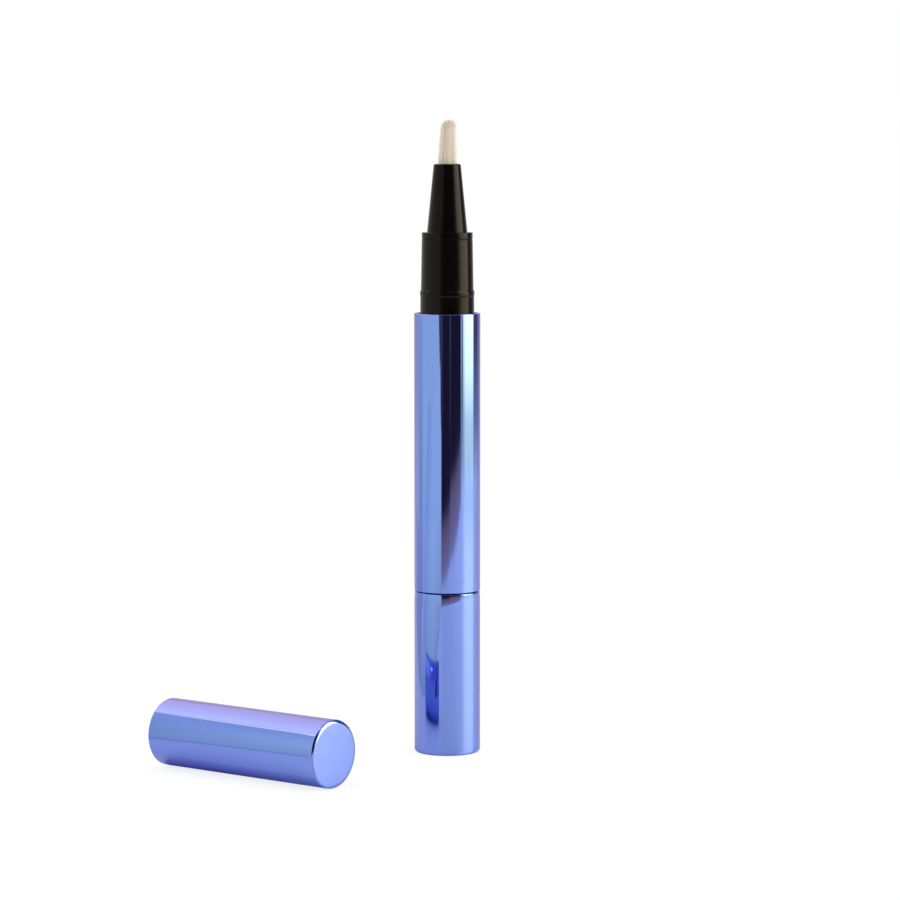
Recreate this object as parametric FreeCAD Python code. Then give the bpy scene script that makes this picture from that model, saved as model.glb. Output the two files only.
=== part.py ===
import FreeCAD
import Part
import math
import os

# Twist pen for nail oil: a brush-tipped pen that stands on its twist knob, with its cap taken off
# and lying on the table beside it. All sizes are millimetres. The pen axis is +Z, its foot is at
# z = 0, and +X runs along the cap, from its mouth to its closed end.

# Outer metal shells, shared by knob, barrel and cap
pen_diameter = 12.0
shell_wall = 0.5
shell_lip_radius = 0.12
knob_length = 29.5
knob_floor = 0.6
knob_edge_radius = 0.6
seam_gap = 0.2
barrel_length = 50.4
cap_length = 38.0
cap_end_wall = 0.5
cap_edge_radius = 0.9

# Gaps between pieces
fit_gap = 0.05
running_gap = 0.1
face_gap = 0.1
cut_overrun = 1.0

# Cap liner and seal
liner_recess = 0.4
liner_mouth_wall = 0.45
liner_deep_wall = 1.15
liner_end_wall = 1.0
liner_chamfer = 0.25
liner_ridge_rise = 0.1
liner_ridge_width = 0.8
liner_ridge_below_bead = 1.1
cap_snap_gap = 0.07
seal_thickness = 1.0
seal_width = 1.05

# Where the cap lies: the middle of its mouth, and how far in front of the pen its axis runs
cap_mouth_x = -30.7
cap_axis_y = -41.1

# Black collar that the cap snaps on
collar_neck_length = 13.3
collar_recess = 0.15
collar_skirt_length = 4.05
collar_foot_inset = 0.04
collar_seat_inset = 0.06
collar_shoulder_inset = 0.17
collar_top_inset = 0.33
collar_top_wall = 1.15
collar_foot_wall = 0.95
collar_chamfer = 0.12
bead_height = 3.6
bead_width = 1.2

# Black nozzle cone
nozzle_flange_height = 1.25
nozzle_flange_chamfer = 0.1
nozzle_cone_length = 12.3
nozzle_base_inset = 0.95
nozzle_tip_wall = 0.42
nozzle_tip_radius = 0.25
nozzle_stem_length = 6.0
nozzle_channel_gap = 0.2

# Brush tuft, the sleeve that holds it, and the tube that feeds it
tuft_diameter = 3.45
tuft_length = 8.1
tuft_height_shares = (0.0, 0.31, 0.54, 0.755, 0.885, 0.965, 1.0)
tuft_radius_shares = (1.0, 0.92, 0.875, 0.79, 0.63, 0.36, 0.0)
sleeve_wall = 0.2
sleeve_length = 7.0
sleeve_recess = 0.3
sleeve_floor = 0.4
feed_tube_diameter = 1.6
feed_tube_bore = 0.9
feed_tube_in_tuft = 2.5

# Joint that carries the feed tube in the neck of the reservoir
joint_length = 5.0
joint_nipple_length = 3.6
joint_nipple_wall = 0.75
joint_inlet_length = 1.5
joint_inlet_chamfer = 0.5

# Reservoir tube
reservoir_wall = 1.0
reservoir_shoulder = 1.2
reservoir_neck_wall = 1.05
collar_ring_section = 1.0
collar_ring_clearance = 0.02

# Tail of the barrel: the bush that the knob turns in, and the ratchet above it
bush_recess = 0.4
bush_length = 4.2
bush_wall = 0.95
bush_groove_depth = 0.3
ratchet_thickness = 2.0
ratchet_wall = 0.85
ratchet_tooth_depth = 0.5
ratchet_teeth = 12
pawl_hub_wall = 0.4
pawl_arm_share = 0.55
pawl_sweep_angle = 96.0
pawl_root_angle = 20.0
pawl_tip_shares = (0.1, 0.42)

# Feed screw, its nut and the sleeve that turns it
thread_depth = 0.45
thread_lead = 2.0
thread_root_width = 1.2
thread_crest_width = 0.6
thread_gap = 0.15
screw_tail_gap = 3.9
screw_wing_width = 1.2
screw_wing_share = 0.5625
screw_wing_length = 2.7
screw_relief = 0.3
screw_neck_inset = 0.35
screw_neck_length = 1.2
screw_head_rise = 0.5
screw_head_length = 1.6
nut_flange = 1.2
nut_hub_length = 2.8
nut_hub_wall = 1.3
drive_radius_share = 29 / 35
drive_bore_share = 0.6
drive_foot_height = 2.0
drive_foot_wall = 0.75
drive_key_depth = 0.4

# Piston
piston_length = 5.4
piston_nose = 0.9
piston_lip = 1.1
piston_waist_inset = 0.45
piston_nose_inset = 1.6

# Plastic core of the knob
core_recess = 0.2
core_wall = 1.25
core_snap_rise = 0.2
core_snap_width = 0.8
core_snap_from_top = 0.4
core_slit_width = 0.8
core_slit_count = 4
core_ring_section = 0.9
core_ring_above_barrel = 1.2
core_ring_clearance = 0.03

# Levels up the pen, worked out from the sizes above
pen_radius = pen_diameter / 2
insert_radius = pen_radius - shell_wall - fit_gap
cap_inner_corner = max(cap_edge_radius - shell_wall, shell_lip_radius)
barrel_bottom = knob_length + seam_gap
barrel_top = barrel_bottom + barrel_length
collar_top = barrel_top + collar_neck_length
flange_top = collar_top + nozzle_flange_height
nozzle_top = flange_top + nozzle_cone_length
brush_tip = nozzle_top + tuft_length
collar_bottom = barrel_top - collar_recess - collar_skirt_length
stem_bottom = collar_top - nozzle_stem_length
neck_top = stem_bottom - collar_ring_section - 2 * collar_ring_clearance
reservoir_bore_top = collar_bottom - reservoir_shoulder
bush_bottom = barrel_bottom + bush_recess
bush_top = bush_bottom + bush_length
ratchet_top = bush_top + ratchet_thickness
nut_flange_top = ratchet_top + nut_flange
nut_top = nut_flange_top + nut_hub_length
piston_bottom = nut_top + face_gap
piston_top = piston_bottom + piston_length
drive_top = ratchet_top - face_gap
core_top = bush_top - face_gap
screw_tail = knob_floor + screw_tail_gap
sleeve_top = nozzle_top - sleeve_recess
sleeve_bottom = sleeve_top - sleeve_length
tuft_root = sleeve_bottom + sleeve_floor
joint_bottom = neck_top - joint_length
nipple_top = neck_top + joint_nipple_length
feed_tube_bottom = joint_bottom + joint_inlet_length
feed_tube_top = tuft_root + feed_tube_in_tuft

# Radii, from the shells inwards
cap_mouth_radius = insert_radius - liner_mouth_wall
cap_deep_radius = insert_radius - liner_deep_wall
bead_radius = cap_mouth_radius - cap_snap_gap
collar_top_radius = bead_radius - collar_top_inset
collar_seat_radius = bead_radius - collar_seat_inset
stem_radius = collar_top_radius - collar_top_wall - fit_gap
neck_radius = collar_seat_radius - collar_foot_wall - fit_gap
neck_bore_radius = neck_radius - reservoir_neck_wall
reservoir_bore_radius = insert_radius - reservoir_wall
bush_bore_radius = insert_radius - bush_wall
ratchet_root_radius = insert_radius - ratchet_wall
ratchet_crest_radius = ratchet_root_radius - ratchet_tooth_depth
core_neck_radius = bush_bore_radius - running_gap
core_groove_radius = core_neck_radius - core_ring_section
core_bore_radius = insert_radius - core_wall
drive_foot_radius = insert_radius - drive_foot_wall
drive_radius = core_groove_radius * drive_radius_share
core_neck_bore_radius = drive_radius + fit_gap
drive_key_offset = drive_radius - drive_key_depth
drive_bore_radius = core_groove_radius * drive_bore_share
drive_wall = drive_radius - drive_bore_radius

# Sizes across the feed screw, which fills the bore of its drive sleeve
thread_diameter = 2 * (drive_bore_radius - running_gap)
screw_crest_radius = thread_diameter / 2
screw_root_radius = screw_crest_radius - thread_depth
screw_neck_diameter = 2 * (screw_root_radius - screw_neck_inset)
screw_head_diameter = screw_neck_diameter + 2 * screw_head_rise
screw_wing_span = thread_diameter + 2 * drive_wall * screw_wing_share
nut_hub_radius = screw_crest_radius + nut_hub_wall

# Radii, from the brush outwards
tuft_radius = tuft_diameter / 2
sleeve_radius = tuft_radius + fit_gap + sleeve_wall
nozzle_tip_bore_radius = sleeve_radius + fit_gap
nozzle_tip_outer_radius = nozzle_tip_bore_radius + nozzle_tip_wall
nozzle_base_radius = collar_top_radius - nozzle_base_inset
feed_tube_radius = feed_tube_diameter / 2
feed_hole_radius = feed_tube_radius + fit_gap
nipple_radius = feed_hole_radius + joint_nipple_wall

ORIGIN = FreeCAD.Vector(0, 0, 0)
UP = FreeCAD.Vector(0, 0, 1)
FULL_TURN = 360.0


def turned(outline):
    """Solid of revolution about the pen axis from corners given as (radius, height)."""
    corners = [FreeCAD.Vector(radius, 0, height) for radius, height in outline]
    face = Part.Face(Part.makePolygon(corners + corners[:1]))
    return face.revolve(ORIGIN, UP, FULL_TURN)


def cylinder(radius, bottom, top):
    """Plain cylinder on the pen axis between two levels."""
    return Part.makeCylinder(radius, top - bottom, FreeCAD.Vector(0, 0, bottom))


def slab(width, reach, bottom, top):
    """Block centred on the pen axis, with its width in Y and its reach both ways in X."""
    corner = FreeCAD.Vector(-reach, -width / 2, bottom)
    return Part.makeBox(2 * reach, width, top - bottom, corner)


def round_rims(solid, rims, fillet):
    """Rounds the circular edges of a turned solid that lie at the given (radius, height) places."""
    near = fillet / 10
    chosen = []
    for edge in solid.Edges:
        if not isinstance(edge.Curve, Part.Circle):
            continue
        for radius, height in rims:
            same_radius = abs(edge.Curve.Radius - radius) < near
            if same_radius and abs(edge.Curve.Center.z - height) < near:
                chosen.append(edge)
    return solid.makeFillet(fillet, chosen)


def ring(major_radius, section, height):
    """Round-section ring of rubber about the pen axis."""
    return Part.makeTorus(major_radius, section / 2, FreeCAD.Vector(0, 0, height))


def on_circle(radius, angle, height):
    """Point at a radius and an angle in degrees about the pen axis."""
    turn = math.radians(angle)
    return FreeCAD.Vector(radius * math.cos(turn), radius * math.sin(turn), height)


def ring_sector(inner, outer, start, end, bottom, top):
    """Curved bar of a ring between two radii and two angles."""
    middle = (start + end) / 2
    outer_arc = Part.Arc(*[on_circle(outer, a, bottom) for a in (start, middle, end)])
    inner_arc = Part.Arc(*[on_circle(inner, a, bottom) for a in (end, middle, start)])
    start_side = Part.LineSegment(inner_arc.EndPoint, outer_arc.StartPoint)
    end_side = Part.LineSegment(outer_arc.EndPoint, inner_arc.StartPoint)
    sides = [outer_arc, end_side, inner_arc, start_side]
    face = Part.Face(Part.Wire([side.toShape() for side in sides]))
    return face.extrude(FreeCAD.Vector(0, 0, top - bottom))


def threaded_bar(root, crest, root_width, crest_width, bottom, top):
    """Right-hand trapezoid thread: its cross-section, swept up the pen axis along a helix."""
    crest_half = FULL_TURN / 2 * crest_width / thread_lead
    root_half = FULL_TURN / 2 * root_width / thread_lead
    flank_half = (crest_half + root_half) / 2
    flank = (crest + root) / 2
    arcs = [
        [(crest, -crest_half), (crest, 0), (crest, crest_half)],
        [(crest, crest_half), (flank, flank_half), (root, root_half)],
        [(root, root_half), (root, FULL_TURN / 2), (root, -root_half)],
        [(root, -root_half), (flank, -flank_half), (crest, -crest_half)],
    ]
    edges = [Part.Arc(*[on_circle(radius, angle, 0) for radius, angle in arc]).toShape() for arc in arcs]
    helix = Part.makeHelix(thread_lead, top - bottom, crest)
    sweep = Part.BRepOffsetAPI.MakePipeShell(Part.Wire(helix.Edges))
    sweep.setFrenetMode(True)
    sweep.add(Part.Wire(edges))
    sweep.build()
    sweep.makeSolid()
    bar = sweep.shape()
    bar.rotate(ORIGIN, UP, FULL_TURN * bottom / thread_lead)
    bar.translate(FreeCAD.Vector(0, 0, bottom))
    return bar


def lay_cap_down(solid):
    """Lays a cap piece, modelled mouth down on the pen axis, on its side on the table."""
    laid = solid.copy()
    laid.rotate(ORIGIN, FreeCAD.Vector(0, 1, 0), FULL_TURN / 4)
    laid.translate(FreeCAD.Vector(cap_mouth_x, cap_axis_y, pen_radius))
    return laid


def knob_shell():
    """Drawn metal cup over the knob core, closed at the foot that the pen stands on."""
    inner = pen_radius - shell_wall
    cup = turned([
        (0, 0),
        (pen_radius, 0),
        (pen_radius, knob_length),
        (inner, knob_length),
        (inner, knob_floor),
        (0, knob_floor),
    ])
    cup = round_rims(cup, [(pen_radius, 0)], knob_edge_radius)
    return round_rims(cup, [(pen_radius, knob_length), (inner, knob_length)], shell_lip_radius)


def barrel_sleeve():
    """Straight metal tube round the reservoir."""
    inner = pen_radius - shell_wall
    tube = cylinder(pen_radius, barrel_bottom, barrel_top)
    tube = tube.cut(cylinder(inner, barrel_bottom - cut_overrun, barrel_top + cut_overrun))
    rims = [(radius, level) for radius in (pen_radius, inner) for level in (barrel_bottom, barrel_top)]
    return round_rims(tube, rims, shell_lip_radius)


def cap_shell():
    """Drawn metal cup of the cap."""
    inner = pen_radius - shell_wall
    cup = turned([
        (inner, 0),
        (pen_radius, 0),
        (pen_radius, cap_length),
        (0, cap_length),
        (0, cap_length - cap_end_wall),
        (inner, cap_length - cap_end_wall),
    ])
    cup = round_rims(cup, [(pen_radius, cap_length)], cap_edge_radius)
    cup = round_rims(cup, [(inner, cap_length - cap_end_wall)], cap_inner_corner)
    cup = round_rims(cup, [(pen_radius, 0), (inner, 0)], shell_lip_radius)
    return lay_cap_down(cup)


def cap_liner():
    """Plastic lining of the cap, with the ridge that snaps under the collar's bead."""
    end = cap_length - cap_end_wall - fit_gap
    step = flange_top - barrel_top + fit_gap + seal_thickness
    ridge_middle = bead_height - liner_ridge_below_bead
    ridge_radius = cap_mouth_radius - liner_ridge_rise
    return lay_cap_down(turned([
        (cap_mouth_radius + liner_chamfer, liner_recess),
        (insert_radius, liner_recess),
        (insert_radius, end - cap_inner_corner),
        (insert_radius - cap_inner_corner, end),
        (0, end),
        (0, end - liner_end_wall),
        (cap_deep_radius, end - liner_end_wall),
        (cap_deep_radius, step),
        (cap_mouth_radius, step),
        (cap_mouth_radius, ridge_middle + liner_ridge_width / 2),
        (ridge_radius, ridge_middle),
        (cap_mouth_radius, ridge_middle - liner_ridge_width / 2),
        (cap_mouth_radius, liner_recess + liner_chamfer),
    ]))


def cap_seal():
    """Soft washer in the cap that closes on the nozzle's flange."""
    bottom = flange_top - barrel_top + fit_gap
    outer = cap_mouth_radius - fit_gap
    washer = cylinder(outer, bottom, bottom + seal_thickness)
    hole = cylinder(outer - seal_width, bottom - cut_overrun, bottom + seal_thickness + cut_overrun)
    return lay_cap_down(washer.cut(hole))


def collar():
    """Black neck with the bead that the cap snaps over; its skirt sits in the barrel."""
    skirt_top = barrel_top - collar_recess
    bead_middle = barrel_top + bead_height
    stem_bore = stem_radius + fit_gap
    neck_bore = neck_radius + fit_gap
    return turned([
        (neck_bore, collar_bottom),
        (insert_radius, collar_bottom),
        (insert_radius, skirt_top),
        (bead_radius - collar_foot_inset, skirt_top),
        (collar_seat_radius, bead_middle - bead_width / 2),
        (bead_radius, bead_middle - bead_width / 4),
        (bead_radius, bead_middle + bead_width / 4),
        (bead_radius - collar_shoulder_inset, bead_middle + bead_width / 2),
        (collar_top_radius, collar_top - collar_chamfer),
        (collar_top_radius - collar_chamfer, collar_top),
        (stem_bore, collar_top),
        (stem_bore, stem_bottom),
        (neck_bore, stem_bottom),
    ])


def nozzle():
    """Black cone on its flange, bored for the brush from the tip and for the feed from below."""
    channel = feed_tube_radius + nozzle_channel_gap
    nipple_bore = nipple_radius + fit_gap
    nipple_end = nipple_top + face_gap
    flange_edge = collar_top_radius - nozzle_flange_chamfer
    cone = turned([
        (nipple_bore, stem_bottom),
        (stem_radius, stem_bottom),
        (stem_radius, collar_top),
        (flange_edge, collar_top),
        (collar_top_radius, collar_top + nozzle_flange_chamfer),
        (collar_top_radius, flange_top - nozzle_flange_chamfer),
        (flange_edge, flange_top),
        (nozzle_base_radius, flange_top),
        (nozzle_tip_outer_radius, nozzle_top),
        (nozzle_tip_bore_radius, nozzle_top),
        (nozzle_tip_bore_radius, sleeve_bottom),
        (channel, sleeve_bottom),
        (channel, nipple_end),
        (nipple_bore, nipple_end),
    ])
    return round_rims(cone, [(nozzle_tip_outer_radius, nozzle_top)], nozzle_tip_radius)


def brush_tuft():
    """Envelope of the nylon tuft: a straight root in its sleeve and a rounded, tapering tip."""
    side_points = [
        FreeCAD.Vector(tuft_radius * across, 0, nozzle_top + tuft_length * up)
        for up, across in zip(tuft_height_shares, tuft_radius_shares)
    ]
    side = Part.BSplineCurve()
    side.interpolate(side_points)
    corners = [
        FreeCAD.Vector(0, 0, brush_tip),
        FreeCAD.Vector(0, 0, feed_tube_top),
        FreeCAD.Vector(feed_hole_radius, 0, feed_tube_top),
        FreeCAD.Vector(feed_hole_radius, 0, tuft_root),
        FreeCAD.Vector(tuft_radius, 0, tuft_root),
        side_points[0],
    ]
    edges = [side.toShape()]
    edges += [Part.makeLine(a, b) for a, b in zip(corners, corners[1:])]
    return Part.Face(Part.Wire(edges)).revolve(ORIGIN, UP, FULL_TURN)


def tuft_sleeve():
    """Thin cup pressed into the nozzle's tip round the root of the tuft."""
    inner = tuft_radius + fit_gap
    return turned([
        (feed_hole_radius, sleeve_bottom),
        (sleeve_radius, sleeve_bottom),
        (sleeve_radius, sleeve_top),
        (inner, sleeve_top),
        (inner, tuft_root),
        (feed_hole_radius, tuft_root),
    ])


def feed_tube():
    """Fine tube from the reservoir's neck into the heart of the tuft."""
    tube = cylinder(feed_tube_radius, feed_tube_bottom, feed_tube_top)
    bore = cylinder(feed_tube_bore / 2, feed_tube_bottom - cut_overrun, feed_tube_top + cut_overrun)
    return tube.cut(bore)


def feed_joint():
    """Plug in the reservoir's neck whose nipple holds the feed tube."""
    body_radius = neck_bore_radius - fit_gap
    inlet_radius = feed_tube_bore / 2
    return turned([
        (inlet_radius + joint_inlet_chamfer, joint_bottom),
        (body_radius, joint_bottom),
        (body_radius, neck_top),
        (nipple_radius, neck_top),
        (nipple_radius, nipple_top),
        (feed_hole_radius, nipple_top),
        (feed_hole_radius, feed_tube_bottom),
        (inlet_radius, feed_tube_bottom),
        (inlet_radius, joint_bottom + joint_inlet_chamfer),
    ])


def collar_o_ring():
    """Ring that seals the nozzle's stem against the reservoir's neck."""
    outer = neck_radius - collar_ring_clearance
    middle = (stem_bottom + neck_top) / 2
    return ring(outer - collar_ring_section / 2, collar_ring_section, middle)


def reservoir_tube():
    """Plastic tube that holds the oil, drawn in to a neck at the front."""
    return turned([
        (reservoir_bore_radius, nut_flange_top),
        (insert_radius, nut_flange_top),
        (insert_radius, collar_bottom),
        (neck_radius, collar_bottom),
        (neck_radius, neck_top),
        (neck_bore_radius, neck_top),
        (neck_bore_radius, reservoir_bore_top),
        (reservoir_bore_radius, reservoir_bore_top),
    ])


def snap_middle():
    """Level of the knob core's snap bead, in the middle of the bush's groove."""
    return core_top - core_snap_from_top - core_snap_width / 2


def tail_bush():
    """Bearing ring in the tail of the barrel, grooved for the knob core's snap bead."""
    groove_half = core_snap_width / 2 + face_gap
    groove_radius = bush_bore_radius + bush_groove_depth
    return turned([
        (bush_bore_radius, bush_bottom),
        (insert_radius, bush_bottom),
        (insert_radius, bush_top),
        (bush_bore_radius, bush_top),
        (bush_bore_radius, snap_middle() + groove_half),
        (groove_radius, snap_middle() + groove_half),
        (groove_radius, snap_middle() - groove_half),
        (bush_bore_radius, snap_middle() - groove_half),
    ])


def ratchet_ring():
    """Fixed ring of saw teeth inside the barrel, which lets the knob turn one way only."""
    pitch = FULL_TURN / ratchet_teeth
    corners = []
    for tooth in range(ratchet_teeth):
        corners.append(on_circle(ratchet_crest_radius, tooth * pitch, bush_top))
        corners.append(on_circle(ratchet_root_radius, tooth * pitch, bush_top))
    toothed_hole = Part.Face(Part.makePolygon(corners + corners[:1]))
    hole = toothed_hole.extrude(FreeCAD.Vector(0, 0, ratchet_thickness))
    return cylinder(insert_radius, bush_top, ratchet_top).cut(hole)


def pawl_tip(angle, bottom, top):
    """Saw tooth at the end of a spring arm, seated in one valley of the ratchet ring."""
    valley = on_circle(ratchet_root_radius, angle, bottom)
    ramp = on_circle(ratchet_crest_radius, angle + FULL_TURN / ratchet_teeth, bottom) - valley
    inwards = UP.cross(ramp).normalize()
    heel, toe = [valley + ramp * share + inwards * running_gap for share in pawl_tip_shares]
    back = ratchet_crest_radius - running_gap
    heel_angle, toe_angle = [math.degrees(math.atan2(end.y, end.x)) for end in (heel, toe)]
    corners = [on_circle(back, heel_angle, bottom), heel, toe, on_circle(back, toe_angle, bottom)]
    face = Part.Face(Part.makePolygon(corners + corners[:1]))
    return face.extrude(FreeCAD.Vector(0, 0, top - bottom))


def pawl_ring():
    """Click ring keyed on the drive sleeve, with two spring arms that trail into the ratchet."""
    bottom = bush_top + face_gap
    hub_outer = drive_radius + fit_gap + pawl_hub_wall
    arm_outer = ratchet_crest_radius - running_gap
    arm_inner = arm_outer - (arm_outer - hub_outer) * pawl_arm_share
    hub_inner = drive_radius + fit_gap
    hub = cylinder(hub_outer, bottom, drive_top)
    bore = cylinder(hub_inner, bottom - cut_overrun, drive_top + cut_overrun)
    bore = bore.common(slab(2 * (drive_key_offset + fit_gap), pen_diameter,
                            bottom - cut_overrun, drive_top + cut_overrun))
    pieces = []
    for tip_angle in (0.0, FULL_TURN / 2):
        root_angle = tip_angle + pawl_sweep_angle
        pieces.append(ring_sector(arm_inner, arm_outer, tip_angle + pawl_root_angle / 4, root_angle,
                                  bottom, drive_top))
        pieces.append(ring_sector(hub_inner + pawl_hub_wall / 2, arm_outer, root_angle - pawl_root_angle,
                                  root_angle, bottom, drive_top))
        pieces.append(pawl_tip(tip_angle, bottom, drive_top))
    return hub.multiFuse(pieces).cut(bore).removeSplitter()


def lead_screw():
    """Feed screw: wings at its tail slide in the drive sleeve, its head snaps into the piston."""
    thread_bottom = screw_tail + screw_wing_length + screw_relief
    thread_top = piston_bottom
    head_bottom = thread_top + screw_neck_length
    head_top = head_bottom + screw_head_length
    stem = screw_neck_diameter / 2
    head = screw_head_diameter / 2
    spine = turned([
        (0, screw_tail),
        (stem, screw_tail),
        (stem, head_bottom),
        (head, head_bottom),
        (stem, head_top),
        (0, head_top),
    ])
    wings = slab(screw_wing_width, screw_wing_span / 2, screw_tail, screw_tail + screw_wing_length)
    thread = threaded_bar(screw_root_radius, screw_crest_radius, thread_root_width, thread_crest_width,
                          thread_bottom, thread_top)
    return thread.fuse(spine).fuse(wings)


def thread_nut():
    """Fixed nut clamped between the ratchet ring and the reservoir; the screw climbs through it."""
    body = turned([
        (0, ratchet_top),
        (insert_radius, ratchet_top),
        (insert_radius, nut_flange_top),
        (nut_hub_radius, nut_flange_top),
        (nut_hub_radius, nut_top),
        (0, nut_top),
    ])
    tap = threaded_bar(screw_root_radius + thread_gap, screw_crest_radius + thread_gap,
                       thread_root_width + 2 * thread_gap, thread_crest_width + 2 * thread_gap,
                       ratchet_top - cut_overrun, nut_top + cut_overrun)
    return body.cut(tap)


def drive_sleeve():
    """Slotted sleeve fixed in the knob that turns the screw by its wings and carries the pawl ring."""
    bottom = knob_floor - cut_overrun
    top = drive_top + cut_overrun
    foot_top = knob_floor + drive_foot_height
    tube = cylinder(drive_radius, knob_floor, drive_top)
    foot = cylinder(drive_foot_radius - fit_gap, knob_floor, foot_top)
    foot = foot.common(slab(2 * (core_bore_radius - fit_gap), pen_diameter, knob_floor, foot_top))
    bore = cylinder(drive_bore_radius, bottom, top)
    slot = slab(screw_wing_width + 2 * running_gap, screw_wing_span / 2 + running_gap, bottom, top)
    key = cylinder(pen_radius, bush_top, top)
    key = key.cut(slab(2 * drive_key_offset, pen_diameter, bush_top, top))
    return tube.fuse(foot).cut(bore).cut(slot).cut(key).removeSplitter()


def piston():
    """Soft piston with two sealing lips, snapped over the head of the screw."""
    wall = reservoir_bore_radius - fit_gap
    waist = wall - piston_waist_inset
    nose = wall - piston_nose_inset
    socket_neck = screw_neck_diameter / 2 + running_gap
    socket = screw_head_diameter / 2 + running_gap
    neck_end = piston_bottom + screw_neck_length - running_gap
    socket_top = piston_bottom + screw_neck_length + screw_head_length + running_gap
    crown = piston_top - piston_nose
    return turned([
        (socket_neck, piston_bottom),
        (wall, piston_bottom),
        (wall, piston_bottom + piston_lip),
        (waist, piston_bottom + 2 * piston_lip),
        (waist, crown - 2 * piston_lip),
        (wall, crown - piston_lip),
        (wall, crown),
        (nose, piston_top),
        (0, piston_top),
        (0, socket_top),
        (socket, socket_top),
        (socket, neck_end),
        (socket_neck, neck_end),
    ])


def core_ring_level():
    """Level of the middle of the knob core's friction ring."""
    return barrel_bottom + core_ring_above_barrel


def knob_core():
    """Black plastic core of the knob: its slit neck snaps into the barrel's tail bush."""
    shoulder = knob_length - core_recess
    groove_half = core_ring_section / 2 + core_ring_clearance
    snap_radius = core_neck_radius + core_snap_rise
    snap_half = core_snap_width / 2
    core = turned([
        (core_bore_radius, knob_floor),
        (insert_radius, knob_floor),
        (insert_radius, shoulder),
        (core_neck_radius, shoulder),
        (core_neck_radius, core_ring_level() - groove_half),
        (core_groove_radius, core_ring_level() - groove_half),
        (core_groove_radius, core_ring_level() + groove_half),
        (core_neck_radius, core_ring_level() + groove_half),
        (core_neck_radius, snap_middle() - snap_half),
        (snap_radius, snap_middle() - snap_half / 2),
        (snap_radius, snap_middle()),
        (core_neck_radius, snap_middle() + snap_half),
        (core_neck_radius, core_top),
        (core_neck_bore_radius, core_top),
        (core_neck_bore_radius, shoulder - core_wall),
        (core_bore_radius, shoulder - core_wall - (core_bore_radius - core_neck_bore_radius)),
    ])
    pocket = cylinder(drive_foot_radius, knob_floor - cut_overrun, knob_floor + drive_foot_height)
    pocket = pocket.common(slab(2 * core_bore_radius, pen_diameter,
                                knob_floor - cut_overrun, knob_floor + drive_foot_height))
    core = core.cut(pocket)
    slit_bottom = core_ring_level() + groove_half + face_gap
    for number in range(core_slit_count // 2):
        slit = slab(core_slit_width, pen_diameter, slit_bottom, core_top + cut_overrun)
        slit.rotate(ORIGIN, UP, number * FULL_TURN / core_slit_count)
        core = core.cut(slit)
    return core


def knob_o_ring():
    """Rubber ring on the knob core's neck that steadies the knob in the bush."""
    outer = bush_bore_radius - core_ring_clearance
    return ring(outer - core_ring_section / 2, core_ring_section, core_ring_level())


PIECES = [
    knob_shell, knob_core, knob_o_ring, drive_sleeve, pawl_ring, lead_screw, piston,
    barrel_sleeve, tail_bush, ratchet_ring, thread_nut, reservoir_tube,
    collar, collar_o_ring, feed_joint, feed_tube, nozzle, tuft_sleeve, brush_tuft,
    cap_shell, cap_liner, cap_seal,
]

os.makedirs("parts", exist_ok=True)
for make_piece in PIECES:
    shape = make_piece()
    shape.exportStep(os.path.join("parts", make_piece.__name__ + ".step"))
    sound = shape.isValid() and len(shape.Solids) == 1
    print(f"{make_piece.__name__:16s} {shape.Volume:9.2f} mm3 {'sound' if sound else 'NOT SOUND'}")

piston_stroke = reservoir_bore_top - face_gap - piston_top
screw_grip = drive_top - screw_tail - piston_stroke
swept_volume = math.pi * reservoir_bore_radius ** 2 * piston_stroke
print(f"piston stroke {piston_stroke:.2f} mm, {piston_stroke / thread_lead:.2f} turns of the knob")
print(f"screw still held in the sleeve at the end of the stroke: {screw_grip:.2f} mm")
print(f"oil swept by the piston: {swept_volume:.0f} mm3")
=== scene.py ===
import bmesh
import bpy
import math
import random
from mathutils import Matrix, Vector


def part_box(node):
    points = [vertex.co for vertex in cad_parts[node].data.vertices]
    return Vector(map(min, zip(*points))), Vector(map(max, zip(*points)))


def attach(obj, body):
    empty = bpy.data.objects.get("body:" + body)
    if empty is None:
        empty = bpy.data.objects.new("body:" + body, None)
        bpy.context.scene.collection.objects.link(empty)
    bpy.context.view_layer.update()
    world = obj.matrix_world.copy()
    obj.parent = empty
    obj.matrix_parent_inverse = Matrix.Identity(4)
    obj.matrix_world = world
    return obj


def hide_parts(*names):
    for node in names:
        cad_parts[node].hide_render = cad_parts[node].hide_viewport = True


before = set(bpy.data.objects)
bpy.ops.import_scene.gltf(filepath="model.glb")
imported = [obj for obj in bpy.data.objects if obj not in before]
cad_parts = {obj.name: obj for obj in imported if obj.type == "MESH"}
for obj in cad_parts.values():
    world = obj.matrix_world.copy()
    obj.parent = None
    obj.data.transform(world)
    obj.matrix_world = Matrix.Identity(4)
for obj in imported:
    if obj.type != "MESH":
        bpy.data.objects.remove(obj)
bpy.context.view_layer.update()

# Reservoir, feed tube, feed joint and tuft sleeve: the pieces of the pen that the oil runs through.
# They are moulded or extruded in natural polypropylene, which is milky and lets some light through.
# The reservoir is gripped inside the barrel, the joint is pressed into its neck, and all stay hidden.
gloss_spread = 0.15
milky_depth = 0.001


def linear(hex_colour):
    """The linear colour that the shaders take, from an sRGB hex value."""
    shares = [int(hex_colour[place:place + 2], 16) / 255 for place in (1, 3, 5)]
    return [s / 12.92 if s <= 0.04045 else ((s + 0.055) / 1.055) ** 2.4 for s in shares] + [1.0]


def add_node(tree, kind, inputs=(), links=(), **settings):
    """Adds a node with its settings, its input values and its links from other nodes' outputs."""
    node = tree.nodes.new("ShaderNode" + kind)
    for name, value in settings.items():
        setattr(node, name, value)
    for socket, value in dict(inputs).items():
        node.inputs[socket].default_value = value
    for socket, (source, output) in dict(links).items():
        tree.links.new(source.outputs[output], node.inputs[socket])
    return node


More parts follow.
